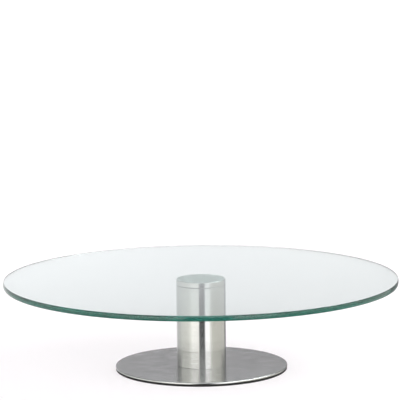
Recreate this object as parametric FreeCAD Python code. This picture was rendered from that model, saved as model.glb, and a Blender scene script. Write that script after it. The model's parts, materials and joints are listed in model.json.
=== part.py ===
"""Rotating glass cake stand: a round glass plate that turns on a ball-bearing spindle in a steel column.

Millimetres, +Z up. The origin is at the centre of the stand's underside, on the turning axis.
"""
import FreeCAD, Part
import math
import os

V = FreeCAD.Vector
AXIS = V(0, 0, 1)

# Driving dimensions: what the eye sees
PLATE_R = 150.0             # glass plate, 300 across
PLATE_T = 4.0
RIM_CURVE_R = 4.5           # the glass rim is ground to a shallow arc, a pencil edge
COLUMN_R = 18.75            # stainless tube, 37.5 across
COLUMN_WALL = 1.2
BASE_R = 65.5               # stamped base disc, 131 across
BASE_T = 1.2
BASE_ROUND = 0.4            # rolled-over top edge of the stamping
PAD_R = 65.3                # foam pad, cut to the disc's size
PAD_T = 1.8
STAND_H = 70.0              # floor to the top of the glass
HUB_T = 4.0
HUB_ARRIS = 0.4
BOND_T = 0.2                # film of clear adhesive between hub and glass
BOND_SETBACK = 0.5
TURN_GAP = 0.4              # between the column's top and the turning hub

# Heights of the stack, from the floor up
BASE_Z = PAD_T
COLUMN_Z = BASE_Z + BASE_T
PLATE_Z = STAND_H - PLATE_T
HUB_TOP_Z = PLATE_Z - BOND_T
HUB_Z = HUB_TOP_Z - HUB_T
COLUMN_TOP_Z = HUB_Z - TURN_GAP
BORE_R = COLUMN_R - COLUMN_WALL

# Three wafer-head screws hold the base disc to the plug in the column's foot
PLUG_H = 10.0
PLUG_BORE_R = 4.0
PLUG_LEAD = 0.5
SCREW_COUNT = 3
SCREW_RING_R = 9.5
SCREW_R = 2.0
SCREW_LEN = 10.0
SCREW_TIP = 0.5
SCREW_HEAD_R = 4.0
SCREW_HEAD_T = 1.3
SCREW_HEAD_ROUND = 0.4
SCREW_CLEAR_R = 2.2
RECESS_LEN = 4.2            # cross recess in the head
RECESS_W = 0.8
RECESS_DEPTH = 0.8
PAD_OPENING_R = 14.0        # round opening of the pad, which leaves the heads free

# Ball bearings 8 x 22 x 7, seven balls each
BEARING_BORE_R = 4.0
BEARING_R = 11.0
BEARING_W = 7.0
BALL_R = 3.969 / 2
BALL_COUNT = 7
PITCH_R = 7.5
GROOVE_R = BALL_R + 0.056
POCKET_R = BALL_R + 0.08
INNER_LAND_R = 6.05
OUTER_LAND_R = 8.95
RING_ROUND = 0.3
SHIELD_T = 0.35
SHIELD_OUT_R = 9.5
SHIELD_IN_R = 6.45
CAGE_IN_R = 6.55
CAGE_OUT_R = 8.45
CAGE_BASE = 2.75            # from the balls' plane down to the cage's closed side
CAGE_TOP = 1.0              # from the balls' plane up to the tips of its fingers

# Bearing housing, pressed into the column's top
HOUSING_DROP = 0.5          # its top lies this far below the column's rim
HOUSING_H = 30.0
HOUSING_BAND = 9.0          # full-width bands that the tube grips, one at each end
HOUSING_WAIST_R = 14.5
HOUSING_LEAD = 0.5
SHOULDER_R = 9.8            # bore between the bearings, which their outer rings butt against
COLLAR_H = 3.4              # spindle's shoulder, from the upper bearing to the hub
BEARING_SPACING = 18.0      # centre to centre
HOUSING_TOP_Z = COLUMN_TOP_Z - HOUSING_DROP
HOUSING_Z = HOUSING_TOP_Z - HOUSING_H
BEARING_TOP_Z = HUB_Z - COLLAR_H
UPPER_MID_Z = BEARING_TOP_Z - BEARING_W / 2
LOWER_MID_Z = UPPER_MID_Z - BEARING_SPACING
BEARING_MIDS = {"upper": UPPER_MID_Z, "lower": LOWER_MID_Z}

# Spindle, and what clamps the inner rings on it
SPINDLE_R = BEARING_BORE_R
SPINDLE_STUB = 2.8          # threaded end in the hub's blind hole
HUB_HOLE_DEPTH = 3.0
COLLAR_R = 6.0
COLLAR_FLATS = 10.5         # across the two flats that take a spanner
SPINDLE_TIP = 1.0           # what stands out below the nut
SPINDLE_CHAMFER = 0.8
UNDERCUT_R = 3.6            # thread relief under the lower bearing
UNDERCUT_H = 1.2
SPACER_R = 5.6
WASHER_R = 6.0              # no wider than the inner ring, clear of the shields
WASHER_T = 1.6
NUT_FLATS = 13.0
NUT_HEX_H = 6.2
NUT_COLLAR_R = 5.8
NUT_COLLAR_H = 1.8
NUT_CONE = 0.8              # how far the corners' cone comes down the flats
INSERT_R = 5.0
INSERT_H = 1.3


def disc(radius, height, z):
    """An upright solid cylinder standing on height z."""
    return Part.makeCylinder(radius, height, V(0, 0, z), AXIS)


def ring(outer_r, inner_r, height, z):
    """An upright tube standing on height z."""
    return disc(outer_r, height, z).cut(disc(inner_r, height, z))


def turned(outline):
    """The solid of revolution of a closed outline of (radius, height) points."""
    points = [V(r, 0, z) for r, z in outline]
    face = Part.Face(Part.makePolygon(points + points[:1]))
    return face.revolve(V(0, 0, 0), AXIS, 360)


def edges_at(shape, radius, z):
    """The circular edges of a shape that have this radius and lie at this height."""
    def matches(edge):
        curve = edge.Curve
        if not isinstance(curve, Part.Circle):
            return False
        misses = (curve.Radius - radius, curve.Center.z - z)
        return all(abs(miss) < 1e-4 for miss in misses)
    return [edge for edge in shape.Edges if matches(edge)]


def around(count, radius):
    """Points evenly spaced on a circle about the axis, the first one straight back."""
    for i in range(count):
        angle = math.radians(90.0 + 360.0 * i / count)
        yield V(radius * math.cos(angle), radius * math.sin(angle), 0)


def hex_prism(across_flats, height, z):
    """A hexagonal bar standing on height z."""
    corners = list(around(6, across_flats / math.sqrt(3)))
    face = Part.Face(Part.makePolygon(corners + corners[:1]))
    face.translate(V(0, 0, z))
    return face.extrude(V(0, 0, height))


def glass_plate():
    """A disc whose rim bulges to its full radius at half its thickness."""
    half = PLATE_T / 2
    flat_r = PLATE_R - RIM_CURVE_R + math.sqrt(RIM_CURVE_R ** 2 - half ** 2)
    low_axis, low_rim, middle, high_rim, high_axis = (
        V(0, 0, PLATE_Z), V(flat_r, 0, PLATE_Z), V(PLATE_R, 0, PLATE_Z + half),
        V(flat_r, 0, STAND_H), V(0, 0, STAND_H),
    )
    section = Part.Wire([
        Part.makeLine(low_axis, low_rim),
        Part.Arc(low_rim, middle, high_rim).toShape(),
        Part.makeLine(high_rim, high_axis),
        Part.makeLine(high_axis, low_axis),
    ])
    return Part.Face(section).revolve(V(0, 0, 0), AXIS, 360)


def bond_film():
    return disc(COLUMN_R - BOND_SETBACK, BOND_T, HUB_TOP_Z)


def hub_disc():
    hub = disc(COLUMN_R, HUB_T, HUB_Z)
    rims = edges_at(hub, COLUMN_R, HUB_Z) + edges_at(hub, COLUMN_R, HUB_TOP_Z)
    return hub.makeChamfer(HUB_ARRIS, rims).cut(disc(SPINDLE_R, HUB_HOLE_DEPTH, HUB_Z))


def spindle():
    """One turned piece: threaded stub, collar with two flats, bearing seat and threaded end."""
    seat_end = LOWER_MID_Z - BEARING_W / 2 - WASHER_T
    tip = seat_end - NUT_HEX_H - NUT_COLLAR_H - SPINDLE_TIP
    bar = turned([
        (0, tip),
        (SPINDLE_R - SPINDLE_CHAMFER, tip),
        (SPINDLE_R, tip + SPINDLE_CHAMFER),
        (SPINDLE_R, seat_end),
        (UNDERCUT_R, seat_end + (WASHER_T - UNDERCUT_H) / 2),
        (UNDERCUT_R, seat_end + (WASHER_T + UNDERCUT_H) / 2),
        (SPINDLE_R, seat_end + WASHER_T),
        (SPINDLE_R, BEARING_TOP_Z),
        (COLLAR_R, BEARING_TOP_Z),
        (COLLAR_R, HUB_Z),
        (SPINDLE_R, HUB_Z),
        (SPINDLE_R, HUB_Z + SPINDLE_STUB),
        (0, HUB_Z + SPINDLE_STUB),
    ])
    for side in (-1, 1):
        flat = Part.makeBox(2 * COLLAR_R, COLLAR_R, COLLAR_H)
        edge_y = side * COLLAR_FLATS / 2
        flat.translate(V(-COLLAR_R, edge_y if side > 0 else edge_y - COLLAR_R, BEARING_TOP_Z))
        bar = bar.cut(flat)
    return bar


def raceway(mid_z):
    """The torus that both grooves follow, slightly larger than the balls' path."""
    return Part.makeTorus(PITCH_R, GROOVE_R, V(0, 0, mid_z), AXIS)


def inner_ring(mid_z):
    low, high = mid_z - BEARING_W / 2, mid_z + BEARING_W / 2
    blank = ring(INNER_LAND_R, BEARING_BORE_R, BEARING_W, low)
    rims = edges_at(blank, INNER_LAND_R, low) + edges_at(blank, INNER_LAND_R, high)
    return blank.makeChamfer(RING_ROUND, rims).cut(raceway(mid_z))


def outer_ring(mid_z):
    low, high = mid_z - BEARING_W / 2, mid_z + BEARING_W / 2
    blank = ring(BEARING_R, OUTER_LAND_R, BEARING_W, low)
    rims = edges_at(blank, BEARING_R, low) + edges_at(blank, BEARING_R, high)
    blank = blank.makeFillet(RING_ROUND, rims)
    for z in (low, high - SHIELD_T):
        blank = blank.cut(disc(SHIELD_OUT_R, SHIELD_T, z))
    return blank.cut(raceway(mid_z))


def shields(mid_z):
    """The two thin covers pressed into the outer ring."""
    low, high = mid_z - BEARING_W / 2, mid_z + BEARING_W / 2
    return Part.makeCompound([ring(SHIELD_OUT_R, SHIELD_IN_R, SHIELD_T, z) for z in (low, high - SHIELD_T)])


def balls(mid_z):
    return Part.makeCompound([
        Part.makeSphere(BALL_R, place + V(0, 0, mid_z)) for place in around(BALL_COUNT, PITCH_R)
    ])


def cage(mid_z):
    """A crown cage: one moulded ring, closed below, with a round pocket for each ball."""
    crown = ring(CAGE_OUT_R, CAGE_IN_R, CAGE_BASE + CAGE_TOP, mid_z - CAGE_BASE)
    for place in around(BALL_COUNT, PITCH_R):
        crown = crown.cut(Part.makeSphere(POCKET_R, place + V(0, 0, mid_z)))
    return crown


def spacer_sleeve():
    """Tube between the inner rings, which sets their distance."""
    low = LOWER_MID_Z + BEARING_W / 2
    return ring(SPACER_R, SPINDLE_R, BEARING_SPACING - BEARING_W, low)


def end_washer():
    return ring(WASHER_R, SPINDLE_R, WASHER_T, LOWER_MID_Z - BEARING_W / 2 - WASHER_T)


def lock_nut():
    """Hexagon with turned corners, and below it the collar that holds the nylon ring."""
    top = LOWER_MID_Z - BEARING_W / 2 - WASHER_T
    low = top - NUT_HEX_H
    corner_r = NUT_FLATS / math.sqrt(3)
    cone = turned([
        (0, low),
        (corner_r - NUT_CONE, low),
        (corner_r, low + NUT_CONE / 2),
        (corner_r, top - NUT_CONE / 2),
        (corner_r - NUT_CONE, top),
        (0, top),
    ])
    nut = hex_prism(NUT_FLATS, NUT_HEX_H, low).common(cone)
    nut = nut.fuse(disc(NUT_COLLAR_R, NUT_COLLAR_H, low - NUT_COLLAR_H)).removeSplitter()
    nut = nut.cut(disc(SPINDLE_R, NUT_HEX_H + NUT_COLLAR_H, low - NUT_COLLAR_H))
    return nut.cut(disc(INSERT_R, INSERT_H, insert_z()))


def insert_z():
    """Underside of the nylon ring, in the middle of the nut's collar."""
    collar_low = LOWER_MID_Z - BEARING_W / 2 - WASHER_T - NUT_HEX_H - NUT_COLLAR_H
    return collar_low + (NUT_COLLAR_H - INSERT_H) / 2


def lock_nut_insert():
    return ring(INSERT_R, SPINDLE_R, INSERT_H, insert_z())


def bearing_housing():
    """Turned sleeve with a seat at each end, a shoulder between them and a relieved waist."""
    upper_seat = UPPER_MID_Z - BEARING_W / 2
    lower_seat = LOWER_MID_Z + BEARING_W / 2
    return turned([
        (BEARING_R, HOUSING_Z),
        (BORE_R - HOUSING_LEAD, HOUSING_Z),
        (BORE_R, HOUSING_Z + HOUSING_LEAD),
        (BORE_R, HOUSING_Z + HOUSING_BAND),
        (HOUSING_WAIST_R, HOUSING_Z + HOUSING_BAND),
        (HOUSING_WAIST_R, HOUSING_TOP_Z - HOUSING_BAND),
        (BORE_R, HOUSING_TOP_Z - HOUSING_BAND),
        (BORE_R, HOUSING_TOP_Z - HOUSING_LEAD),
        (BORE_R - HOUSING_LEAD, HOUSING_TOP_Z),
        (BEARING_R + HOUSING_LEAD, HOUSING_TOP_Z),
        (BEARING_R, HOUSING_TOP_Z - HOUSING_LEAD),
        (BEARING_R, upper_seat),
        (SHOULDER_R, upper_seat),
        (SHOULDER_R, lower_seat),
        (BEARING_R, lower_seat),
    ])


def column_tube():
    return ring(COLUMN_R, BORE_R, COLUMN_TOP_Z - COLUMN_Z, COLUMN_Z)


def foot_plug():
    plug = turned([
        (PLUG_BORE_R, COLUMN_Z),
        (BORE_R, COLUMN_Z),
        (BORE_R, COLUMN_Z + PLUG_H - PLUG_LEAD),
        (BORE_R - PLUG_LEAD, COLUMN_Z + PLUG_H),
        (PLUG_BORE_R, COLUMN_Z + PLUG_H),
    ])
    for place in around(SCREW_COUNT, SCREW_RING_R):
        plug = plug.cut(Part.makeCylinder(SCREW_R, PLUG_H, place + V(0, 0, COLUMN_Z), AXIS))
    return plug


def base_disc():
    blank = disc(BASE_R, BASE_T, BASE_Z)
    plate = blank.makeFillet(BASE_ROUND, edges_at(blank, BASE_R, COLUMN_Z))
    for place in around(SCREW_COUNT, SCREW_RING_R):
        plate = plate.cut(Part.makeCylinder(SCREW_CLEAR_R, BASE_T, place + V(0, 0, BASE_Z), AXIS))
    return plate


def base_screws():
    screws = []
    head_z = BASE_Z - SCREW_HEAD_T
    for place in around(SCREW_COUNT, SCREW_RING_R):
        head = disc(SCREW_HEAD_R, SCREW_HEAD_T, head_z)
        head = head.makeFillet(SCREW_HEAD_ROUND, edges_at(head, SCREW_HEAD_R, head_z))
        shank = disc(SCREW_R, SCREW_LEN, BASE_Z)
        shank = shank.makeChamfer(SCREW_TIP, edges_at(shank, SCREW_R, BASE_Z + SCREW_LEN))
        screw = head.fuse(shank)
        for length, width in ((RECESS_LEN, RECESS_W), (RECESS_W, RECESS_LEN)):
            slot = Part.makeBox(length, width, RECESS_DEPTH)
            slot.translate(V(-length / 2, -width / 2, head_z))
            screw = screw.cut(slot)
        screw.translate(place)
        screws.append(screw)
    return Part.makeCompound(screws)


def anti_slip_pad():
    return ring(PAD_R, PAD_OPENING_R, PAD_T, 0)


def bearing_parts(name, mid_z):
    """The five pieces of one bearing, under the names of their nodes."""
    return {
        f"{name}_inner_ring": inner_ring(mid_z),
        f"{name}_outer_ring": outer_ring(mid_z),
        f"{name}_shields": shields(mid_z),
        f"{name}_balls": balls(mid_z),
        f"{name}_cage": cage(mid_z),
    }


def stand():
    parts = {
        "glass_plate": glass_plate(),
        "bond_film": bond_film(),
        "hub_disc": hub_disc(),
        "spindle": spindle(),
        "spacer_sleeve": spacer_sleeve(),
        "end_washer": end_washer(),
        "lock_nut": lock_nut(),
        "lock_nut_insert": lock_nut_insert(),
        "bearing_housing": bearing_housing(),
        "column_tube": column_tube(),
        "foot_plug": foot_plug(),
        "base_disc": base_disc(),
        "base_screws": base_screws(),
        "anti_slip_pad": anti_slip_pad(),
    }
    for name, mid_z in BEARING_MIDS.items():
        parts.update(bearing_parts(name, mid_z))
    return parts


os.makedirs("parts", exist_ok=True)
for node, shape in stand().items():
    shape.exportStep(f"parts/{node}.step")
    print(f"{node}: {len(shape.Solids)} solid(s), {shape.Volume / 1000:.2f} cm3, valid {shape.isValid()}")
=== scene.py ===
# %% [markdown]
# # A rotating cake stand
#
# The stand is a round glass plate on a short steel column. The plate is bonded to a steel hub, and the
# hub turns on two small ball bearings inside the column. The imported model gives every piece its place
# and size. This lesson gives the visible pieces finer meshes, and every piece a finish of its own.
#
# The imported model is loaded first, because most of the sizes below are read from it.

# %% Load the imported model
import bpy
import json
import math
from mathutils import Matrix, Vector


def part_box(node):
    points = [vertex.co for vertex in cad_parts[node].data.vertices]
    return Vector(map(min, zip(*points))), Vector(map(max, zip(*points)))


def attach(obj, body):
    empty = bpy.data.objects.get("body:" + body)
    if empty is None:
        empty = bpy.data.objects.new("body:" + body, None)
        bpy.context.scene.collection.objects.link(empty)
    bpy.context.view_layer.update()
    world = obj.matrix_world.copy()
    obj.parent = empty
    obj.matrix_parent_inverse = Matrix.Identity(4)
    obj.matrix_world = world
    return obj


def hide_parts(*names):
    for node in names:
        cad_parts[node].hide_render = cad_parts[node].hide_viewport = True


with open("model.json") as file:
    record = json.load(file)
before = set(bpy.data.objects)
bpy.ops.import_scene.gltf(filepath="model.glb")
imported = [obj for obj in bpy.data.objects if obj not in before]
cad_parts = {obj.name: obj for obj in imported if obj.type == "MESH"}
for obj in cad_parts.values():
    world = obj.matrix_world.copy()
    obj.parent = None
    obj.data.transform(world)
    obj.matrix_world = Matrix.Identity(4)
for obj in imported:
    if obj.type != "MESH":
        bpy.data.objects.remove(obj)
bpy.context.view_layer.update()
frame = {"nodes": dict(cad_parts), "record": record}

# %% [markdown]
# ## Sizes
#
# Each piece of this object is round and stands on one axis, so a radius and two heights say where it is.
# They come from the boxes of the imported nodes. A box doesn't show how wide an inner hole is, or how an
# edge was rounded, so those few sizes are given in the cell that first needs them.

# %% Read the sizes of the round pieces
MM = 0.001


def round_size(node):
    """Radius, underside and top of a round piece that stands on the axis."""
    low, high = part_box(node)
    return high.x, low.z, high.z


PLATE_R, PLATE_LOW, PLATE_TOP = round_size("glass_plate")
FILM_R, FILM_LOW, FILM_TOP = round_size("bond_film")
HUB_R, HUB_LOW, HUB_TOP = round_size("hub_disc")
COLUMN_R, COLUMN_LOW, COLUMN_TOP = round_size("column_tube")
BASE_R, BASE_LOW, BASE_TOP = round_size("base_disc")
PAD_R, PAD_LOW, PAD_TOP = round_size("anti_slip_pad")
print("radius of the plate", PLATE_R, "column", COLUMN_R, "base", BASE_R)

# %% [markdown]
# ## Writing node trees as sums
#
# Node trees get long when every node is made, set and linked by hand. Two small classes shorten that.
# The first is a Wire, which is one output of a node. Arithmetic on wires adds Math nodes, so a formula
# is written as a formula. Colours and vectors can't use it, because a Math node keeps only one number.

# %% A wire that can be added and multiplied
class Wire:
    """One output of a node. Arithmetic on it adds Math nodes to the same sheet."""

    def __init__(self, sheet, socket):
        self.sheet, self.socket = sheet, socket

    def maths(self, operation, *terms):
        """A Math node whose operation is named, such as FLOOR or COSINE."""
        return self.sheet.add("ShaderNodeMath", dict(enumerate(terms)), {"operation": operation})

    def __add__(self, other):
        return self.maths("ADD", self, other)

    def __sub__(self, other):
        return self.maths("SUBTRACT", self, other)

    def __rsub__(self, other):
        return self.maths("SUBTRACT", other, self)

    def __mul__(self, other):
        return self.maths("MULTIPLY", self, other)

    def __truediv__(self, other):
        return self.maths("DIVIDE", self, other)

    def __rtruediv__(self, other):
        return self.maths("DIVIDE", other, self)

    __radd__, __rmul__ = __add__, __mul__

    def part(self, name):
        """Another output of the node this wire comes from."""
        return Wire(self.sheet, self.socket.node.outputs[name])


print("wires can be added, subtracted, multiplied and divided")

# %% [markdown]
# ## A sheet for the nodes
#
# The second class is a Sheet, a node tree that is being written. Its one method adds any other node, from
# its type, what its sockets get, and its settings. The settings are set first, because the sockets that
# a node has may depend on them. A colour ramp's stops count as a setting too.

# %% A sheet that adds any node
def set_stops(ramp, stops):
    """Gives a colour ramp its stops, each a place from 0 to 1 and a colour."""
    while len(ramp.elements) > 1:
        ramp.elements.remove(ramp.elements[-1])
    ramp.elements[0].position = stops[0][0]
    ramp.elements[0].color = (*stops[0][1], 1.0)
    for place, colour in stops[1:]:
        ramp.elements.new(place).color = (*colour, 1.0)


class Sheet:
    """A node tree that is being written."""

    def __init__(self, tree):
        self.tree = tree

    def add(self, kind, inputs=None, settings=None, out=0):
        """Adds a node, sets it up, fills its sockets and returns one of its outputs."""
        node = self.tree.nodes.new(kind)
        for name, value in (settings or {}).items():
            if name == "stops":
                set_stops(node.color_ramp, value)
            else:
                setattr(node, name, value)
        for name, value in (inputs or {}).items():
            if isinstance(value, Wire):
                self.tree.links.new(value.socket, node.inputs[name])
            else:
                node.inputs[name].default_value = value
        return Wire(self, node.outputs[out]) if node.outputs else None

    def vector(self, operation, *terms, out=0):
        """A Vector Math node whose operation is named."""
        return self.add("ShaderNodeVectorMath", dict(enumerate(terms)), {"operation": operation}, out)


print("tree helpers ready")

# %% [markdown]
# ## How every tree ends
#
# Two Geometry Nodes trees are built in this lesson, and both end the same way. Smooth shading makes the
# facets of a turned shape disappear, but it would also blur real corners. So only the edges that turn by
# more than a set angle are kept sharp. Marking them by hand would have to be done again after each change.

# %% The last steps of a tree
CREASE_DEG = 32.0


def socket_of(tree, name, kind, way="INPUT"):
    """Adds a named input or output to a tree."""
    return tree.interface.new_socket(name=name, in_out=way, socket_type="NodeSocket" + kind)


def end_tree(sheet, shape, given):
    """The last steps of every tree: creases, one real mesh, and the finish."""
    shape = sheet.add("GeometryNodeRealizeInstances", {"Geometry": shape})
    shape = sheet.add("GeometryNodeSetShadeSmooth", {"Geometry": shape, "Shade Smooth": True})
    angle = sheet.add("GeometryNodeInputMeshEdgeAngle")
    sharp = sheet.add(
        "FunctionNodeCompare", {0: angle, 1: math.radians(CREASE_DEG)}, {"operation": "GREATER_THAN"}
    )
    shape = sheet.add(
        "GeometryNodeSetShadeSmooth",
        {"Geometry": shape, "Selection": sharp, "Shade Smooth": False},
        {"domain": "EDGE"},
    )
    shape = sheet.add("GeometryNodeSetMaterial", {"Geometry": shape, "Material": given.part("Finish")})
    sheet.add("NodeGroupOutput", {"Geometry": shape})


print("edges stay sharp above", CREASE_DEG, "degrees")

# %% [markdown]
# ## A lathe in Geometry Nodes
#
# Nearly everything here was turned, stamped or cut round, so one tool makes it all: a lathe. It takes
# the outline of a section, as a row of points at their radius and height, and turns it about the axis.
# A Spin in edit mode would do the same, but the tree has named inputs and can be run again at any time.
#
# The tree starts from a grid. One side of the grid counts the points of the outline and the other side
# counts the steps round the axis. Each grid point looks up its outline point and is moved to its place
# on the circle. Merging the points that meet closes the seam and the poles.

# %% Build the lathe
WELD = 1e-7


def lathe_tree():
    """A tree that turns an outline about the axis."""
    tree = bpy.data.node_groups.new("lathe", "GeometryNodeTree")
    socket_of(tree, "Outline", "Geometry")
    socket_of(tree, "Steps", "Int")
    socket_of(tree, "Finish", "Material")
    socket_of(tree, "Geometry", "Geometry", "OUTPUT")
    sheet = Sheet(tree)
    given = sheet.add("NodeGroupInput")
    line = given.part("Outline")
    steps = given.part("Steps")
    count = sheet.add("GeometryNodeAttributeDomainSize", {"Geometry": line}, out="Point Count")
    grid = sheet.add("GeometryNodeMeshGrid", {"Vertices X": count, "Vertices Y": steps + 1})
    index = sheet.add("GeometryNodeInputIndex")
    row = index.maths("FLOOR", (index + 0.5) / (steps + 1))
    turn = (index - row * (steps + 1)) / steps * math.tau
    point = sheet.add(
        "GeometryNodeSampleIndex",
        {"Geometry": line, "Value": sheet.add("GeometryNodeInputPosition"), "Index": row},
        {"data_type": "FLOAT_VECTOR"},
    )
    radius = sheet.add("ShaderNodeSeparateXYZ", {"Vector": point})
    place = sheet.add("ShaderNodeCombineXYZ", {
        "X": radius * turn.maths("COSINE", turn),
        "Y": radius * turn.maths("SINE", turn),
        "Z": radius.part("Z"),
    })
    shape = sheet.add("GeometryNodeSetPosition", {"Geometry": grid, "Position": place})
    shape = sheet.add("GeometryNodeMergeByDistance", {"Geometry": shape, "Distance": WELD})
    end_tree(sheet, shape, given)
    return tree


LATHE = lathe_tree()
print("lathe has", len(LATHE.nodes), "nodes")

# %% [markdown]
# ## Outlines with rounded corners
#
# No edge of a real piece is perfectly sharp, and the thin line of light along an edge is what tells the
# eye that it is metal or glass. An outline is written as its few corners. Each corner may have a radius,
# and then it becomes a short arc that touches both sides, as a file or a wheel leaves it. A Bevel
# modifier rounds edges too, but it gives every edge of a piece the same radius unless each is weighted.
#
# A holding point stands just before and just after every arc. Without them the smooth shading of an arc
# would run on across the whole flat beside it, and a flat pane of glass would bend the light like a lens.

# %% Round the corners of an outline
ARC_STEPS = 6
HOLD = 0.5                        # how far a holding point stands from its arc, in corner radii


def corner_arc(before, corner, after, radius):
    """Points of the arc that rounds one corner of a flat outline, between its two holding points."""
    a, b, c = Vector(before), Vector(corner), Vector(after)
    into, onward = (a - b).normalized(), (c - b).normalized()
    half = into.angle(onward) / 2
    start = b + into * radius / math.tan(half)
    end = b + onward * radius / math.tan(half)
    centre = b + (into + onward).normalized() * radius / math.sin(half)
    sweep = math.pi - 2 * half
    side = 1 if into.cross(onward) < 0 else -1
    arm = start - centre
    arc = [centre + Matrix.Rotation(side * sweep * i / ARC_STEPS, 2) @ arm for i in range(ARC_STEPS + 1)]
    return [start + into * HOLD * radius, *arc, end + onward * HOLD * radius]


def outline(corners):
    """Turns (radius, height, rounding) corners into plain points. A rounding of 0 keeps a corner sharp."""
    points = []
    for i, (r, z, rounding) in enumerate(corners):
        if rounding:
            before, after = corners[i - 1][:2], corners[(i + 1) % len(corners)][:2]
            points += corner_arc(before, (r, z), after, rounding)
        else:
            points.append(Vector((r, z)))
    return points


print("a rounded corner has", len(corner_arc((0, 0), (1, 0), (1, 1), 0.1)), "points")

# %% [markdown]
# ## Turning an outline
#
# This helper runs the lathe. It puts the outline into a small mesh of loose edges, gives it the tree,
# sets the inputs by their identifiers, and takes the result as a plain mesh. A solid must face outwards,
# so the signed volume is measured, and the faces are flipped if it is negative.

# %% Run the lathe on an outline
STEPS = 256
CM3 = 1e-6


def signed_volume(mesh):
    """Volume inside a closed mesh, negative where its faces point inwards."""
    mesh.calc_loop_triangles()
    places = [v.co for v in mesh.vertices]
    corners = ([places[i] for i in t.vertices] for t in mesh.loop_triangles)
    return sum(a.dot(b.cross(c)) for a, b, c in corners) / 6


def baked(piece):
    """Turns a piece with a live modifier into a plain mesh that faces outwards."""
    graph = bpy.context.evaluated_depsgraph_get()
    mesh = bpy.data.meshes.new_from_object(piece.evaluated_get(graph), depsgraph=graph)
    piece.modifiers.clear()
    piece.data = mesh
    if signed_volume(mesh) < 0:
        mesh.flip_normals()
    return piece


def with_tree(name, mesh, tree, inputs):
    """A new object whose modifier runs a tree, with the inputs set before anything is evaluated."""
    piece = bpy.data.objects.new(name, mesh)
    modifier = piece.modifiers.new(tree.name, "NODES")
    modifier.node_group = tree
    for item in tree.interface.items_tree:
        if item.name in inputs:
            modifier[item.identifier] = inputs[item.name]
    bpy.context.scene.collection.objects.link(piece)
    return piece


def turned(name, corners, finish, steps=STEPS):
    """A piece made by turning a closed outline, or one that starts and ends on the axis."""
    points = outline(corners)
    if min(p.x for p in points) > 0:
        points.append(points[0])
    row = bpy.data.meshes.new(name + "_outline")
    row.from_pydata([(p.x, 0, p.y) for p in points], [(i, i + 1) for i in range(len(points) - 1)], [])
    piece = baked(with_tree(name, row, LATHE, {"Steps": steps, "Finish": finish}))
    print(name, len(piece.data.polygons), "faces,", round(signed_volume(piece.data) / CM3, 2), "cm3")
    return piece


print("a turned piece has", STEPS, "steps unless more are asked for")

# %% [markdown]
# ## Patterns that stay on a piece
#
# A finish is never quite even, and noise makes it so. Each pattern reads Object coordinates, which stay
# with a piece when it turns. An image of scratches would need the piece unwrapped and would repeat
# itself. Noise that is stretched along one direction gives straight scratches, and noise that reads only
# the distance from the axis and the height gives the rings that a lathe leaves.

# %% Noise along lines and rings
def object_place(sheet):
    """A point's place in the piece's own frame, in metres."""
    return sheet.add("ShaderNodeTexCoord", out="Object")


def noise(sheet, place, scale=1.0, detail=2.0):
    """Smooth noise about 0, mostly within -0.5 to 0.5. The scale is in waves per unit of place."""
    return sheet.add("ShaderNodeTexNoise", {"Vector": place, "Scale": scale, "Detail": detail}) - 0.5


def stretched(sheet, scales):
    """Object coordinates scaled differently each way, in lines per metre."""
    return sheet.add("ShaderNodeMapping", {"Vector": object_place(sheet), "Scale": scales})


def axis_distance(sheet):
    """How far a point is from the axis of the stand."""
    flat = sheet.vector("MULTIPLY", object_place(sheet), (1.0, 1.0, 0.0))
    return sheet.vector("LENGTH", flat, out="Value")


def ring_place(sheet, lines_per_m, wander=0.0):
    """Coordinates that change with radius and height and hardly round the axis, as on turned metal."""
    place = object_place(sheet)
    height = sheet.add("ShaderNodeSeparateXYZ", {"Vector": place}, out="Z")
    stray = noise(sheet, place, scale=90.0) * wander
    return sheet.add("ShaderNodeCombineXYZ", {
        "X": axis_distance(sheet) * lines_per_m + stray,
        "Y": height * lines_per_m + stray,
        "Z": noise(sheet, place, scale=25.0),
    })


print("pattern helpers ready")

# %% [markdown]
# ## Grain
#
# Brushed steel looks the way it does because its surface is a field of fine parallel scratches. Across
# the scratches the surface tilts a little to and fro, so a reflection is smeared across them and stays
# crisp along them. The shader here does the same thing: a noise that is long one way and fine the other
# tilts the surface's own normal across the grain. A Bump node would do it as well, but its strength
# depends on how close the view is. A tilt does not, so it suits scratches too fine to be seen singly.

# %% Tilt the surface across its grain
def tilt(sheet, direction, amount):
    """The surface's normal, leaned towards a direction of the piece's own frame by an amount."""
    normal = sheet.add("ShaderNodeNewGeometry", out="Normal")
    world = sheet.add(
        "ShaderNodeVectorTransform",
        {"Vector": direction},
        {"vector_type": "VECTOR", "convert_from": "OBJECT", "convert_to": "WORLD"},
    )
    lean = sheet.add("ShaderNodeVectorMath", {0: world, "Scale": amount}, {"operation": "SCALE"})
    return sheet.vector("NORMALIZE", sheet.vector("ADD", normal, lean))


print("grain helper ready")

# %% [markdown]
# ## A place to write a finish
#
# Each finish starts as an empty material. The helper adds the Principled shader and the output, so a
# finish's own cell holds only what makes it special. Hardly any finish has one colour all over, so a
# second helper gives a colour that lies between two others.

# %% Start a material and mix colours
def finish_from(name, draw):
    """A material whose sheet is drawn by a function that returns the sockets of its main shader."""
    material = bpy.data.materials.new(name)
    material.use_nodes = True
    material.node_tree.nodes.clear()
    sheet = Sheet(material.node_tree)
    sockets = draw(sheet)
    volume = sockets.pop("Volume", None)
    outputs = {"Surface": sheet.add("ShaderNodeBsdfPrincipled", sockets)}
    if volume:
        outputs["Volume"] = volume
    sheet.add("ShaderNodeOutputMaterial", outputs)
    print("finish", name, len(material.node_tree.nodes), "nodes")
    return material


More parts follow.
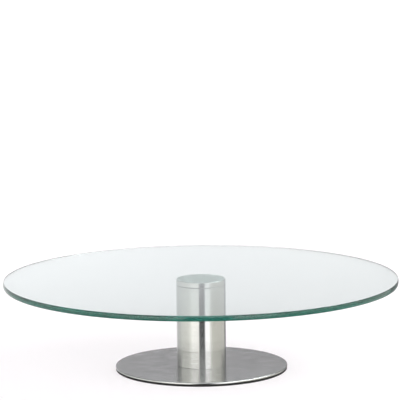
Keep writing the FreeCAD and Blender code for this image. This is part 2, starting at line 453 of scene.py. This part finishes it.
def mixed(sheet, amount, first, second):
    """A colour between two others, each given as a wire or as three numbers.

    An amount of 0 gives the first and 1 the second, so noise about 0 has 0.5 added to it.
    """
    ends = [end if isinstance(end, Wire) else (*end, 1.0) for end in (first, second)]
    sockets = {"Factor": amount, 6: ends[0], 7: ends[1]}
    return sheet.add("ShaderNodeMix", sockets, {"data_type": "RGBA"}, out=2)


print("finish helpers ready")

# %% [markdown]
# ## Brushed steel for the column
#
# The tube was polished while it turned, so its scratches run round it and smear reflections up and down.
# The Principled shader's anisotropy stretches a highlight by itself, and it could do without any noise,
# but then the steel would look like plastic film up close. Here both work together.

# %% Steel with rings round it
STEEL_DULL = (0.56, 0.56, 0.55)
STEEL_BRIGHT = (0.63, 0.625, 0.61)


def column_steel(sheet):
    """Tube polished on a lathe."""
    fine = noise(sheet, ring_place(sheet, lines_per_m=5200.0, wander=1.5), detail=3.0)
    broad = noise(sheet, stretched(sheet, (60.0, 60.0, 9.0)))
    return {
        "Base Color": mixed(sheet, fine * 0.8 + 0.5, STEEL_DULL, STEEL_BRIGHT),
        "Metallic": 1.0,
        "Roughness": 0.20 + fine * 0.04 + broad * 0.02,
        "Anisotropic": 1.0,
        "Anisotropic Rotation": 0.25,
        "Normal": tilt(sheet, (0.0, 0.0, 1.0), fine * 0.42),
    }


COLUMN_STEEL = finish_from("column_steel", column_steel)

# %% [markdown]
# ## Brushed steel for the base
#
# The base disc was brushed flat before it was stamped, so its scratches are straight and all run the same
# way. A Wave texture draws straight lines too, but evenly spaced ones. Stretched noise is uneven, as real
# brushing is: it changes slowly along the scratches and very fast across them.

# %% Steel with straight scratches
SHEET_DULL = (0.55, 0.55, 0.55)
SHEET_BRIGHT = (0.66, 0.66, 0.655)


def base_steel(sheet):
    """Sheet brushed along X."""
    fine = noise(sheet, stretched(sheet, (70.0, 9000.0, 300.0)))
    broad = noise(sheet, object_place(sheet), scale=35.0)
    return {
        "Base Color": mixed(sheet, fine * 0.9 + broad * 0.12 + 0.5, SHEET_DULL, SHEET_BRIGHT),
        "Metallic": 1.0,
        "Roughness": 0.20 + fine * 0.05 + broad * 0.015,
        "Normal": tilt(sheet, (0.0, 1.0, 0.0), fine * 0.5),
    }


BASE_STEEL = finish_from("base_steel", base_steel)

# %% [markdown]
# ## Turned steel for the hub
#
# The hub was turned and faced on a lathe, so its rings are coarser than the column's polish. On its side
# they tilt the surface up and down, and on its faces in and out. One direction that leans both outwards
# and upwards serves both, because only the part that lies along the surface turns its reflection.

# %% Steel with coarse rings
def hub_steel(sheet):
    """Bar turned and faced on a lathe."""
    fine = noise(sheet, ring_place(sheet, lines_per_m=2200.0, wander=0.8), detail=3.0)
    outward = sheet.vector("NORMALIZE", sheet.vector("MULTIPLY", object_place(sheet), (1.0, 1.0, 0.0)))
    return {
        "Base Color": mixed(sheet, fine * 0.8 + 0.5, STEEL_DULL, STEEL_BRIGHT),
        "Metallic": 1.0,
        "Roughness": 0.14 + fine * 0.05,
        "Normal": tilt(sheet, sheet.vector("ADD", outward, (0.0, 0.0, 1.0)), fine * 0.4),
    }


HUB_STEEL = finish_from("hub_steel", hub_steel)

# %% [markdown]
# ## Glass
#
# Ordinary float glass holds a little iron. Through its thickness it looks clear, but along its width the
# light travels up to 300 mm in it and loses its red, which is why the rim is a deep blue-green. So the
# colour is not painted on: the surface is clear, and a Volume Absorption inside takes the light away by
# distance. The helper turns the rate at which each colour fades into the node's density and colour.
#
# The faces are as smooth as they left the float bath, but for a faint ripple. The rim was ground, so a
# band just inside the plate's radius is slightly frosted, with a thin rough coat that catches pale light.

# %% Clear float glass
GLASS_LOSS = (17.5, 6.6, 7.8)     # how fast red, green and blue fade in glass, per metre
GLASS_IOR = 1.52
RIM_DEPTH = 0.55 * MM
RIM_FROST = 0.08


def absorber(sheet, losses):
    """A Volume Absorption node for the rates at which red, green and blue fade."""
    density = max(losses)
    colour = [1.0 - loss / density for loss in losses]
    return sheet.add("ShaderNodeVolumeAbsorption", {"Color": (*colour, 1.0), "Density": density})


def clear_glass(sheet):
    """Float glass with a ground rim."""
    ripple = noise(sheet, object_place(sheet), scale=14.0)
    radius = axis_distance(sheet)
    rim = radius.maths("GREATER_THAN", radius, PLATE_R - RIM_DEPTH)
    return {
        "Base Color": (1.0, 1.0, 1.0, 1.0),
        "Roughness": rim * RIM_FROST,
        "Coat Weight": rim * 0.6,
        "Coat Roughness": 0.45,
        "Coat IOR": 1.6,
        "IOR": GLASS_IOR,
        "Transmission Weight": 1.0,
        "Normal": sheet.add("ShaderNodeBump", {"Height": ripple, "Strength": 0.02, "Distance": 0.001}),
        "Volume": absorber(sheet, GLASS_LOSS),
    }


CLEAR_GLASS = finish_from("clear_glass", clear_glass)

# %% [markdown]
# ## The adhesive film
#
# A film of clear adhesive joins the glass to the hub with no air between, so from above the eye sees the
# hub's face straight through both. Three glassy surfaces lying on each other would show false gaps in a
# ray tracer. The film is therefore made as the wetted face of the hub: pale, dull and a little cloudy.

# %% Adhesive over steel
WET_DULL = (0.66, 0.70, 0.68)
WET_BRIGHT = (0.74, 0.78, 0.76)


def wetted_steel(sheet):
    """The hub's face as it looks through cured adhesive."""
    fine = noise(sheet, ring_place(sheet, lines_per_m=900.0, wander=0.8), detail=3.0)
    cloud = noise(sheet, object_place(sheet), scale=160.0)
    return {
        "Base Color": mixed(sheet, fine * 0.6 + cloud * 0.6 + 0.5, WET_DULL, WET_BRIGHT),
        "Metallic": 0.2,
        "Roughness": 0.5 + cloud * 0.1,
        "IOR": 1.5,
    }


WETTED_STEEL = finish_from("wetted_steel", wetted_steel)

# %% [markdown]
# ## Foam
#
# The pad is closed-cell foam, cut from sheet. Seen close, it is full of tiny pits where cells were cut
# open. Modelling the pits would take millions of faces. A Voronoi pattern gives the cells instead, and a
# Bump node presses them in.

# %% Black cell foam
CELLS_PER_M = 1500.0
FOAM_DARK = (0.012, 0.012, 0.012)
FOAM_DUSTY = (0.030, 0.030, 0.031)


def black_foam(sheet):
    """Cut closed-cell foam with a little dust on it."""
    place = object_place(sheet)
    cells = sheet.add("ShaderNodeTexVoronoi", {"Vector": place, "Scale": CELLS_PER_M}, out="Distance")
    dust = noise(sheet, place, scale=220.0, detail=4.0)
    return {
        "Base Color": mixed(sheet, dust * 1.2 + cells * 0.4, FOAM_DARK, FOAM_DUSTY),
        "Roughness": 0.82 + dust * 0.2,
        "Normal": sheet.add("ShaderNodeBump", {"Height": cells, "Strength": 0.6, "Distance": 0.0003}),
    }


BLACK_FOAM = finish_from("black_foam", black_foam)

# %% [markdown]
# ## Metals inside the column
#
# The bearings, the spindle and its nut are out of sight inside the column, but they are real pieces, so
# each gets the finish it has on a bench: ground bearing steel, bright turned steel, zinc plate and cast
# alloy. They differ only in colour, gloss and grain, so one function draws them all from a few numbers.

# %% Draw a metal from a few numbers
def plain_metal(colour, other, rough, lines, lean):
    """A drawing function for a turned or ground metal."""
    def draw(sheet):
        fine = noise(sheet, ring_place(sheet, lines_per_m=lines, wander=0.6), detail=3.0)
        cloud = noise(sheet, object_place(sheet), scale=240.0)
        return {
            "Base Color": mixed(sheet, fine * 0.7 + cloud * 0.6 + 0.5, colour, other),
            "Metallic": 1.0,
            "Roughness": rough + fine * 0.06 + cloud * 0.08,
            "Normal": tilt(sheet, (0.0, 0.0, 1.0), fine * lean),
        }
    return draw


METALS = {
    "turned_steel": plain_metal((0.52, 0.52, 0.51), (0.62, 0.62, 0.61), rough=0.24, lines=1800.0, lean=0.25),
    "screw_steel": plain_metal((0.62, 0.64, 0.66), (0.72, 0.71, 0.66), rough=0.28, lines=1500.0, lean=0.2),
    "cast_alloy": plain_metal((0.48, 0.48, 0.49), (0.58, 0.58, 0.58), rough=0.46, lines=900.0, lean=0.3),
    "bearing_steel": plain_metal((0.60, 0.61, 0.63), (0.70, 0.71, 0.72), rough=0.12, lines=3000.0, lean=0.08),
    "shield_steel": plain_metal((0.58, 0.58, 0.58), (0.66, 0.66, 0.66), rough=0.22, lines=1200.0, lean=0.15),
}
FINISHES = {name: finish_from(name, draw) for name, draw in METALS.items()}

# %% [markdown]
# ## Nylon inside the column
#
# The cages that space the balls and the ring that locks the nut are moulded nylon. It lets a little light
# in under its skin, and it is never quite even in colour or gloss.

# %% Draw a nylon from its colours
def nylon(colour, other):
    """A drawing function for moulded nylon."""
    def draw(sheet):
        cloud = noise(sheet, object_place(sheet), scale=500.0, detail=4.0)
        return {
            "Base Color": mixed(sheet, cloud + 0.5, colour, other),
            "Roughness": 0.45 + cloud * 0.15,
            "Subsurface Weight": 0.1,
            "Subsurface Radius": (0.001, 0.0008, 0.0006),
            "Normal": sheet.add("ShaderNodeBump", {"Height": cloud, "Strength": 0.25, "Distance": 0.0001}),
        }
    return draw


FINISHES["cage_nylon"] = finish_from("cage_nylon", nylon((0.62, 0.57, 0.43), (0.72, 0.67, 0.54)))
FINISHES["insert_nylon"] = finish_from("insert_nylon", nylon((0.03, 0.09, 0.36), (0.05, 0.13, 0.46)))

# %% [markdown]
# ## The plate
#
# The plate is a plain disc. Its rim was ground to a shallow arc and polished, so that it has no edge that
# cuts. A cylinder with a bevel would have a flat band where the real rim is round. So the outline of the
# rim is a row of points on the arc, from the underside up, and only the two places where the arc meets
# the flat faces need softening. The plate is the widest piece, so it is turned in the finest steps.

# %% Turn the glass plate
RIM_CURVE = 4.5 * MM              # radius of the rim's rounded section
RIM_SOFT = 0.25 * MM
RIM_STEPS = 12
PLATE_STEPS = 720


def ground_rim():
    """Points of a rim that is ground to an arc, from the underside up, as (radius, height, rounding)."""
    middle = (PLATE_LOW + PLATE_TOP) / 2
    reach = math.asin((PLATE_TOP - PLATE_LOW) / 2 / RIM_CURVE)
    points = []
    for i in range(RIM_STEPS + 1):
        turn = reach * (2 * i / RIM_STEPS - 1)
        radius = PLATE_R - RIM_CURVE * (1 - math.cos(turn))
        rounding = 0 if 0 < i < RIM_STEPS else RIM_SOFT
        points.append((radius, middle + RIM_CURVE * math.sin(turn), rounding))
    return points


plate = turned("clear_plate", [
    (0, PLATE_LOW, 0),
    *ground_rim(),
    (0, PLATE_TOP, 0),
], CLEAR_GLASS, steps=PLATE_STEPS)
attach(plate, "turntable")
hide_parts("glass_plate")

# %% [markdown]
# ## The film under the plate
#
# The film reaches a hair's breadth up into the glass. Light inside the plate then meets the film before
# it meets the plate's underside, which is how it is where glass is bonded: there is no inner mirror. Two
# surfaces at exactly the same height would instead flicker between one and the other.

# %% Turn the film
BITE = 0.03 * MM
film = turned("adhesive_disc", [
    (0, FILM_LOW, 0),
    (FILM_R, FILM_LOW, 0),
    (FILM_R, FILM_TOP + BITE, 0),
    (0, FILM_TOP + BITE, 0),
], WETTED_STEEL)
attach(film, "turntable")
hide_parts("bond_film")

# %% [markdown]
# ## The hub
#
# The hub is a short disc with softened edges. Its threaded hole for the spindle is drawn plain and stops
# short of the top. A Boolean could cut it, but on a lathe it is just two more corners of the outline.

# %% Turn the hub
HUB_EDGE = 0.4 * MM
HUB_HOLE_R = 4.0 * MM
HUB_HOLE_END = HUB_LOW + 3.0 * MM
hub = turned("hub_turned", [
    (0, HUB_HOLE_END, 0),
    (HUB_HOLE_R, HUB_HOLE_END, 0),
    (HUB_HOLE_R, HUB_LOW, 0),
    (HUB_R, HUB_LOW, HUB_EDGE),
    (HUB_R, HUB_TOP, HUB_EDGE),
    (0, HUB_TOP, 0),
], HUB_STEEL)
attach(hub, "turntable")
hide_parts("hub_disc")

# %% [markdown]
# ## The column
#
# The tube was cut to length and its ends were deburred, inside and out. Its outline is a tall thin
# rectangle that doesn't touch the axis, so the lathe closes it into a tube by itself. The bearing housing
# is pressed into the tube and fills it, so the housing's radius is also the radius of the bore.

# %% Turn the column
DEBURR = 0.15 * MM
BORE_R = round_size("bearing_housing")[0]
column = turned("column_sleeve", [
    (BORE_R, COLUMN_LOW, DEBURR),
    (COLUMN_R, COLUMN_LOW, DEBURR),
    (COLUMN_R, COLUMN_TOP, DEBURR),
    (BORE_R, COLUMN_TOP, DEBURR),
], COLUMN_STEEL)
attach(column, "foot")
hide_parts("column_tube")

# %% [markdown]
# ## A drill in Geometry Nodes
#
# Three screws hold the column to the base disc, so the disc has three holes on a circle. A second tree
# drills them: a ring of points, a cylinder on each point, and a Boolean that takes them all away. Loose
# cylinders and a Boolean modifier would do as well, but here nothing is left over. The number of holes,
# their circle and their size are inputs, so the tree can drill any round pattern.

# %% Build the drill
DRILL_SIDES = 48


def drill_tree():
    """A tree that drills a ring of holes into a blank."""
    tree = bpy.data.node_groups.new("drill", "GeometryNodeTree")
    socket_of(tree, "Blank", "Geometry")
    socket_of(tree, "Holes", "Int")
    socket_of(tree, "Circle", "Float")
    socket_of(tree, "Radius", "Float")
    socket_of(tree, "Depth", "Float")
    socket_of(tree, "Finish", "Material")
    socket_of(tree, "Geometry", "Geometry", "OUTPUT")
    sheet = Sheet(tree)
    given = sheet.add("NodeGroupInput")
    ring = sheet.add("GeometryNodeMeshCircle", {
        "Vertices": given.part("Holes"),
        "Radius": given.part("Circle"),
    })
    bit = sheet.add("GeometryNodeMeshCylinder", {
        "Vertices": DRILL_SIDES,
        "Radius": given.part("Radius"),
        "Depth": given.part("Depth"),
    })
    bits = sheet.add("GeometryNodeInstanceOnPoints", {"Points": ring, "Instance": bit})
    bits = sheet.add("GeometryNodeRealizeInstances", {"Geometry": bits})
    cut = sheet.add("GeometryNodeMeshBoolean", {"Mesh 1": given.part("Blank"), "Mesh 2": bits})
    end_tree(sheet, cut, given)
    return tree


DRILL = drill_tree()
print("drill has", len(DRILL.nodes), "nodes")

# %% [markdown]
# ## The base disc
#
# The disc was stamped from sheet. The die rolls its upper edge over, which is the bright line round it,
# and leaves the lower edge crisp. It is turned first and then drilled. The Boolean cuts up the faces it
# meets, and long thin faces can catch the light wrongly. So the outline has an extra point on both faces,
# at the radius of the pad's opening, and only the faces inside that ring are cut up. Above, the column
# covers them, and below, they lie deep in the pad's opening.

# %% Turn the base disc and drill it
ROLLED = 0.5 * MM
CRISP = 0.1 * MM
PAD_OPENING_R = 14.0 * MM
BASE_STEPS = 512
SCREWS = 3
SCREW_RING_R = 9.5 * MM
SCREW_HOLE_R = 2.2 * MM
DRILL_LENGTH = 4 * BASE_TOP       # the drill is centred on the table's height and must pass right through
blank = turned("base_blank", [
    (0, BASE_LOW, 0),
    (PAD_OPENING_R, BASE_LOW, 0),
    (BASE_R, BASE_LOW, CRISP),
    (BASE_R, BASE_TOP, ROLLED),
    (PAD_OPENING_R, BASE_TOP, 0),
    (0, BASE_TOP, 0),
], BASE_STEEL, steps=BASE_STEPS)
base = baked(with_tree("base_stamping", blank.data, DRILL, {
    "Holes": SCREWS,
    "Circle": SCREW_RING_R,
    "Radius": SCREW_HOLE_R,
    "Depth": DRILL_LENGTH,
    "Finish": BASE_STEEL,
}))
bpy.data.objects.remove(blank)
print("drilled base", round(signed_volume(base.data) / CM3, 2), "cm3")
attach(base, "foot")
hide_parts("base_disc")

# %% [markdown]
# ## The pad
#
# The pad is a flat ring of foam that keeps the stand from sliding. A knife cut it, so its lower edges are
# only a little soft. A Solidify modifier on a flat ring would do as well, but it wouldn't soften them.

# %% Turn the foam pad
KNIFE = 0.2 * MM
pad = turned("foam_ring", [
    (PAD_OPENING_R, PAD_LOW, KNIFE),
    (PAD_R, PAD_LOW, KNIFE),
    (PAD_R, PAD_TOP, 0),
    (PAD_OPENING_R, PAD_TOP, 0),
], BLACK_FOAM)
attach(pad, "foot")
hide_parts("anti_slip_pad")

# %% [markdown]
# ## The carried-over pieces
#
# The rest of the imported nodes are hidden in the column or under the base, and their own meshes are fine
# enough. They keep them, and each takes the finish of its material slot.

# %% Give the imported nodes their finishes
for entry in frame["record"]["subparts"]:
    finish = FINISHES.get(entry["material_slot"])
    if finish:
        for slot in frame["nodes"][entry["node"]].material_slots:
            slot.material = finish

# %% [markdown]
# ## The table
#
# The stand is shown on a plain white table. A table that only reflects would turn grey wherever the plate
# shades it. This one also glows, so it stays white and the stand's shadow on it is soft and pale. It is
# hidden from reflections, because steel should show the studio and not a wide white floor.

# %% Lay the table
TABLE_HALF = 14.0
TABLE_DULL = (0.29, 0.29, 0.29)
TABLE_BRIGHT = (0.31, 0.31, 0.31)
GLOW = (1.0, 0.95, 0.975, 1.0)


def white_table(sheet):
    """A matt white table that glows a little."""
    speck = noise(sheet, object_place(sheet), scale=40.0)
    return {
        "Base Color": mixed(sheet, speck + 0.5, TABLE_DULL, TABLE_BRIGHT),
        "Roughness": 0.9,
        "Specular IOR Level": 0.0,
        "Emission Color": GLOW,
        "Emission Strength": 0.74,
    }


surface = bpy.data.meshes.new("table")
corners = [(x * TABLE_HALF, y * TABLE_HALF, 0) for x, y in ((-1, -1), (1, -1), (1, 1), (-1, 1))]
surface.from_pydata(corners, [], [(0, 1, 2, 3)])
surface.materials.append(finish_from("white_table", white_table))
table = bpy.data.objects.new("table", surface)
bpy.context.scene.collection.objects.link(table)
table.visible_glossy = False
print("table is", 2 * TABLE_HALF, "m wide")

# %% [markdown]
# ## The screens of the studio
#
# Steel only shows what stands round it, so it needs a room. The room is a World and not a set of lamps
# and boards, because light that has to pass through the plate reaches the base without noise that way.
#
# A colour ramp runs once round the room. Each stop is an azimuth in degrees and the light that comes from
# there. 0 is the camera's side, and positive angles are to its right. White screens stand left and right
# of the front, with a dark gap between them that draws the dark stripe on the column. Dimmer walls stand
# at the sides, and a dark board stands at the right of the rear. A ramp's colours stay below 1, so every
# light is divided by one number that is above them all, and the World's strength gives that back.

# %% Hang the screens
BRIGHTEST = 10.0                  # above every light in the room
SCREENS = (
    (-180, (0.84, 0.83, 0.85)),
    (-176, (0.96, 0.95, 0.97)),
    (-169, (0.90, 0.89, 0.91)),
    (-161, (1.05, 1.05, 1.05)),
    (-140, (0.74, 0.74, 0.74)),
    (-112, (0.88, 0.90, 0.86)),
    (-104, (0.96, 0.98, 0.93)),
    (-75, (1.04, 1.05, 0.99)),
    (-60, (1.14, 1.15, 1.08)),
    (-48, (1.34, 1.35, 1.26)),
    (-44, (1.56, 1.56, 1.49)),
    (-12, (1.50, 1.49, 1.43)),
    (-7, (0.03, 0.03, 0.03)),
    (16, (0.03, 0.03, 0.03)),
    (20, (1.80, 1.80, 1.82)),
    (38, (1.74, 1.74, 1.72)),
    (45, (1.15, 1.14, 1.07)),
    (54, (0.86, 0.85, 0.77)),
    (66, (0.80, 0.79, 0.71)),
    (104, (0.82, 0.81, 0.74)),
    (121, (0.84, 0.83, 0.77)),
    (138, (0.80, 0.79, 0.76)),
    (143, (0.24, 0.24, 0.24)),
    (158, (0.36, 0.36, 0.37)),
    (173, (0.62, 0.61, 0.63)),
    (176, (0.84, 0.83, 0.84)),
    (180, (0.84, 0.83, 0.85)),
)


def dimmed(colour):
    """A light divided by the brightest that the room may hold."""
    return [part / BRIGHTEST for part in colour]


def walls(sheet, azimuth):
    """The screens as a ramp that runs once round the room."""
    stops = [(angle / 360 + 0.5, dimmed(colour)) for angle, colour in SCREENS]
    return sheet.add("ShaderNodeValToRGB", {"Fac": azimuth / math.tau + 0.5}, {"stops": stops})


print("the room has", len(SCREENS), "stops")

# %% [markdown]
# ## Soft limits
#
# The rest of the room is laid out by direction too. Real boards have no hard edges when they are seen in
# brushed steel, so every limit is a fade. One helper steps softly from one value to another, and the
# other makes a window, which is 1 between two limits and 0 outside them.

# %% Fades and windows
def fade(sheet, value, start, end):
    """A smooth step from 0 at one value to 1 at another."""
    return sheet.add(
        "ShaderNodeMapRange",
        {"Value": value, "From Min": start, "From Max": end},
        {"interpolation_type": "SMOOTHSTEP"},
    )


def window(sheet, value, low, high, soft):
    """1 where a value lies between two limits and 0 beyond them, with a soft edge."""
    ends = [
        sheet.add("ShaderNodeMapRange", {"Value": value, "From Min": edge - soft, "From Max": edge + soft})
        for edge in (low, high)
    ]
    return ends[0] - ends[1]


print("soft limits ready")

# %% [markdown]
# ## The room above and below
#
# Each direction has a rise, from 0 at eye level to 1 overhead and -1 below, and a depth, from -1 at the
# camera's side to 1 at the rear. Going up, the gap between the screens closes, and the screens at the
# front and sides grow brighter. Then comes a dark ceiling, which starts a little lower at the rear so
# that the plate, seen from the front, mirrors no glare. Two large soft lamps hang in it. Far below, the
# room falls off to a grey ground.

# %% Light the room
GAP_SIDES = (math.radians(-9), math.radians(17))
GAP_SOFT = 0.06
GAP_CLOSES = (0.12, 0.20)         # the two values of rise between which this happens, as below
OPEN_GAP = (0.72, 0.72, 0.72)
BRIGHTER_RISE = (-0.05, 0.18)
BRIGHTER_DEPTH = (0.5, 0.1)       # the two values of depth between which this happens
BRIGHTER_BY = 0.88
CEILING_RISE = (0.155, 0.245)
CEILING_LIFT = 0.04               # how much higher the ceiling starts at the front
FRONT_DEPTH = (0.6, 0.0)
CEILING = (0.18, 0.18, 0.185)
GROUND_RISE = (-0.35, -0.75)
GROUND = (0.35, 0.35, 0.35)
LAMPS = ((-65, 45, 0.52, 0.82, 3.2), (45, 145, 0.56, 0.85, 7.0))    # left, right, low, high, power
LAMP_SOFT = 0.05


def room_light(sheet):
    """The dimmed light from each direction."""
    way = sheet.add("ShaderNodeSeparateXYZ", {"Vector": sheet.add("ShaderNodeTexCoord", out="Generated")})
    depth = way.part("Y")
    rise = way.part("Z")
    azimuth = way.maths("ARCTAN2", way, 0.0 - depth)
    gap = window(sheet, azimuth, *GAP_SIDES, GAP_SOFT) * fade(sheet, rise, *GAP_CLOSES)
    room = mixed(sheet, gap, walls(sheet, azimuth), dimmed(OPEN_GAP))
    above = fade(sheet, rise, *BRIGHTER_RISE) * fade(sheet, depth, *BRIGHTER_DEPTH)
    gain = above * BRIGHTER_BY + 1.0
    room = sheet.add("ShaderNodeVectorMath", {0: room, "Scale": gain}, {"operation": "SCALE"})
    front = fade(sheet, depth, *FRONT_DEPTH)
    overhead = fade(sheet, rise - front * CEILING_LIFT, *CEILING_RISE)
    room = mixed(sheet, overhead, room, dimmed(CEILING))
    room = mixed(sheet, fade(sheet, rise, *GROUND_RISE), room, dimmed(GROUND))
    for left, right, low, high, power in LAMPS:
        wide = window(sheet, azimuth, math.radians(left), math.radians(right), LAMP_SOFT)
        tall = window(sheet, rise, low, high, LAMP_SOFT)
        room = mixed(sheet, wide * tall, room, dimmed((power, power, power)))
    return room


print("the room has", len(LAMPS), "lamps")

# %% [markdown]
# ## The World
#
# The World gives the room's light to everything but the camera. Where the camera looks past the table,
# it sees white at a little more than full strength, so the table and what lies beyond it look the same.

# %% Build the World
BACKDROP = 1.05


def studio(sheet):
    """The room's light for the stand, and plain white for the camera."""
    lit = sheet.add("ShaderNodeBackground", {"Color": room_light(sheet), "Strength": BRIGHTEST})
    white = sheet.add("ShaderNodeBackground", {"Color": (1.0, 1.0, 1.0, 1.0), "Strength": BACKDROP})
    seen = sheet.add("ShaderNodeLightPath", out="Is Camera Ray")
    chosen = sheet.add("ShaderNodeMixShader", {0: seen, 1: lit, 2: white})
    sheet.add("ShaderNodeOutputWorld", {"Surface": chosen})


world = bpy.data.worlds.new("studio")
world.use_nodes = True
world.node_tree.nodes.clear()
studio(Sheet(world.node_tree))
bpy.context.scene.world = world
print("studio has", len(world.node_tree.nodes), "nodes")

# %% [markdown]
# ## Camera
#
# A long lens stands well back and looks down on the stand by about ten degrees, so the plate is a slim
# ellipse. A wide lens close by would show the same stand with a swollen front. The camera points a little
# above the stand, which puts it in the lower half of the view, and it leans by half a degree.

# %% Place the camera
CAMERA_BACK = 1.8
CAMERA_OVER_PLATE = 0.3274
PITCH_DEG = 8.46
LEAN_DEG = -0.53
LENS_MM = 216.5
SENSOR_MM = 36.0

lens = bpy.data.cameras.new("camera")
lens.lens = LENS_MM
lens.sensor_width = SENSOR_MM
camera = bpy.data.objects.new("camera", lens)
camera.matrix_world = (
    Matrix.Translation((0, -CAMERA_BACK, PLATE_TOP + CAMERA_OVER_PLATE))
    @ Matrix.Rotation(math.radians(90 - PITCH_DEG), 4, "X")
    @ Matrix.Rotation(math.radians(LEAN_DEG), 4, "Z")
)
bpy.context.scene.collection.objects.link(camera)
bpy.context.scene.camera = camera
print("camera at", tuple(round(c, 3) for c in camera.location))

# %% [markdown]
# ## Colour and bounces
#
# The plain Standard view shows the studio's white as white. A filmic view would grey it. Light that goes
# into the plate's rim bounces between its faces many times before it leaves, and each bounce that is
# left out makes the rim blacker than it is, so the limits are raised.

# %% Set the view and the bounces
BOUNCES = 32
ALL_BOUNCES = 40
bpy.context.scene.view_settings.view_transform = "Standard"
bpy.context.scene.cycles.glossy_bounces = BOUNCES
bpy.context.scene.cycles.transmission_bounces = BOUNCES
bpy.context.scene.cycles.max_bounces = ALL_BOUNCES
print("light may bounce", BOUNCES, "times in glass")
